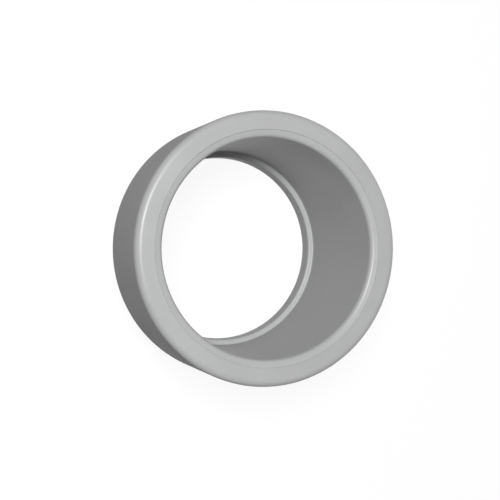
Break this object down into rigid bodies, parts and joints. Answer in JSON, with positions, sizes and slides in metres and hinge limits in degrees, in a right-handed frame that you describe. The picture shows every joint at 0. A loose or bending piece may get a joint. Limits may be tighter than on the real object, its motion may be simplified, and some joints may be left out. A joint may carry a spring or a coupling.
{
  "type": "pipe reducing bush",
  "caption": "Short one-piece reducing bush in grey PVC: a plain spigot outside, a smaller socket with a stop ledge inside, for solvent-welded pipework.",
  "frame": {"origin": "on the axis of the bush, in the plane of its spigot end", "axes": "+Z along the axis, from the spigot end towards the socket mouth"},
  "size_m": [0.05, 0.05, 0.031],
  "materials": {
    "pvc": "moulded semi-gloss"
  },
  "bodies": {
    "root": {"reducing_bush": "pvc"}
  },
  "joints": []
}
